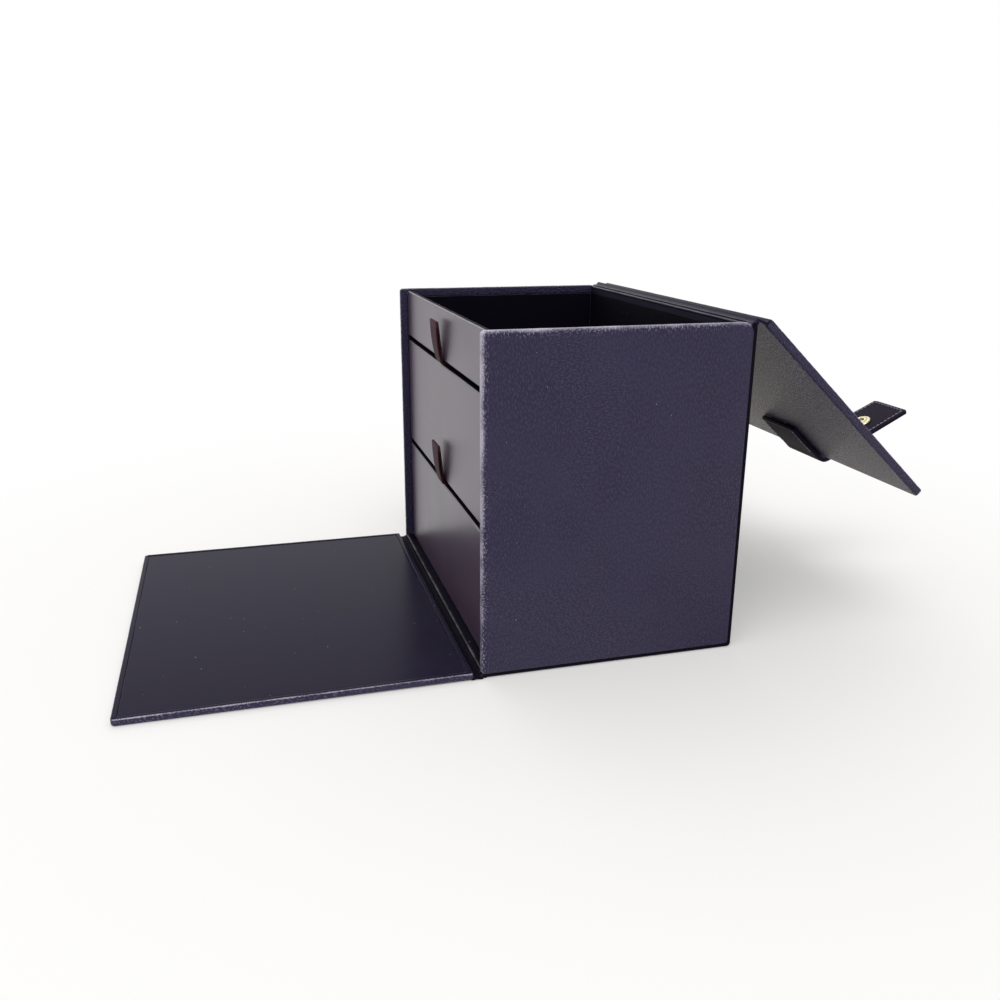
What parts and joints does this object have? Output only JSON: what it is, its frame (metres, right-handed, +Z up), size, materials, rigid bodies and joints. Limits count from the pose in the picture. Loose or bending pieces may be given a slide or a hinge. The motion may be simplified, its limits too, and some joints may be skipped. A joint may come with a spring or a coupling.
{
  "type": "jewellery box",
  "caption": "Leather-covered jewellery box with pull-out drawers behind a fold-down front flap, an open top compartment and a hinged lid that fastens with a snap strap.",
  "frame": {"origin": "centre of the base's underside, on the surface that the box stands on", "axes": "+X across the box to its right wall, -Y to the front where the flap and drawers open, +Z up"},
  "size_m": [0.2212, 0.4947, 0.1803],
  "materials": {
    "grained_leather": "pebbled, soft sheen",
    "satin_lining": "smooth satin",
    "strap_leather": "smooth",
    "tab_leather": "smooth",
    "greyboard": "raw board",
    "covered_board": "satin paper cover",
    "thread": "waxed thread",
    "brass": "pale polished"
  },
  "bodies": {
    "case": {"back_core": "greyboard", "back_leather": "grained_leather", "back_lining": "satin_lining", "base_core": "greyboard", "base_leather": "grained_leather", "base_lining": "satin_lining", "compartment_back_lining": "satin_lining", "compartment_floor_lining": "satin_lining", "compartment_front_core": "greyboard", "compartment_front_cover": "satin_lining", "compartment_shelf": "covered_board", "drawer_shelf": "covered_board", "flap_hinge_leather": "grained_leather", "inner_back_board": "covered_board", "left_wall_core": "greyboard", "left_wall_leather": "grained_leather", "left_wall_lining": "satin_lining", "lid_hinge_lower": "grained_leather", "right_wall_core": "greyboard", "right_wall_leather": "grained_leather", "right_wall_lining": "satin_lining"},
    "front_flap": {"flap_core": "greyboard", "flap_leather": "grained_leather", "flap_lining": "satin_lining", "snap_stud": "brass", "stud_washer": "brass"},
    "lid_strip": {"lid_hinge_upper": "grained_leather", "strip_core": "greyboard", "strip_leather": "grained_leather", "strip_lining": "satin_lining"},
    "lid": {"lid_core": "greyboard", "lid_leather": "grained_leather", "lid_lining": "satin_lining", "strap_root": "strap_leather"},
    "strap": {"snap_cap": "brass", "snap_socket": "brass", "strap_inner": "strap_leather", "strap_outer": "strap_leather", "strap_stitches": "thread"},
    "middle_drawer": {"middle_drawer_back": "covered_board", "middle_drawer_bottom": "covered_board", "middle_drawer_floor_lining": "satin_lining", "middle_drawer_front_core": "greyboard", "middle_drawer_front_cover": "satin_lining", "middle_drawer_left_side": "covered_board", "middle_drawer_right_side": "covered_board", "middle_drawer_tab_root": "tab_leather"},
    "middle_tab": {"middle_drawer_tab": "tab_leather"},
    "bottom_drawer": {"bottom_drawer_back": "covered_board", "bottom_drawer_bottom": "covered_board", "bottom_drawer_floor_lining": "satin_lining", "bottom_drawer_front_core": "greyboard", "bottom_drawer_front_cover": "satin_lining", "bottom_drawer_left_side": "covered_board", "bottom_drawer_right_side": "covered_board", "bottom_drawer_tab_root": "tab_leather"},
    "bottom_tab": {"bottom_drawer_tab": "tab_leather"}
  },
  "joints": [
    {"name": "flap_hinge", "type": "hinge", "parent": "case", "child": "front_flap", "pos_m": [0, -0.0729, 0.0009], "axis": [-1, 0, 0], "range_deg": [0, 90]},
    {"name": "strip_hinge", "type": "hinge", "parent": "case", "child": "lid_strip", "pos_m": [0, 0.0731, 0.1793], "axis": [1, 0, 0], "range_deg": [0, 115]},
    {"name": "lid_hinge", "type": "hinge", "parent": "lid_strip", "child": "lid", "pos_m": [0, 0.07627, 0.17782], "axis": [1, 0, 0], "range_deg": [0, 108]},
    {"name": "strap_fold", "type": "hinge", "parent": "lid", "child": "strap", "pos_m": [0, 0.18073, 0.07796], "axis": [1, 0, 0], "range_deg": [-60, 21]},
    {"name": "middle_drawer_slide", "type": "slide", "parent": "case", "child": "middle_drawer", "axis": [0, 1, 0], "range_m": [-0.1, 0], "deforming": ["bottom_drawer_tab"]},
    {"name": "bottom_drawer_slide", "type": "slide", "parent": "case", "child": "bottom_drawer", "axis": [0, 1, 0], "range_m": [-0.1, 0]},
    {"name": "middle_tab_fold", "type": "hinge", "parent": "middle_drawer", "child": "middle_tab", "pos_m": [0, -0.0655, 0.1452], "axis": [-1, 0, 0], "range_deg": [-80, 8], "stiffness_Nm_per_rad": 0.002},
    {"name": "bottom_tab_fold", "type": "hinge", "parent": "bottom_drawer", "child": "bottom_tab", "pos_m": [0, -0.0655, 0.0733], "axis": [-1, 0, 0], "range_deg": [-80, 8], "stiffness_Nm_per_rad": 0.002}
  ]
}
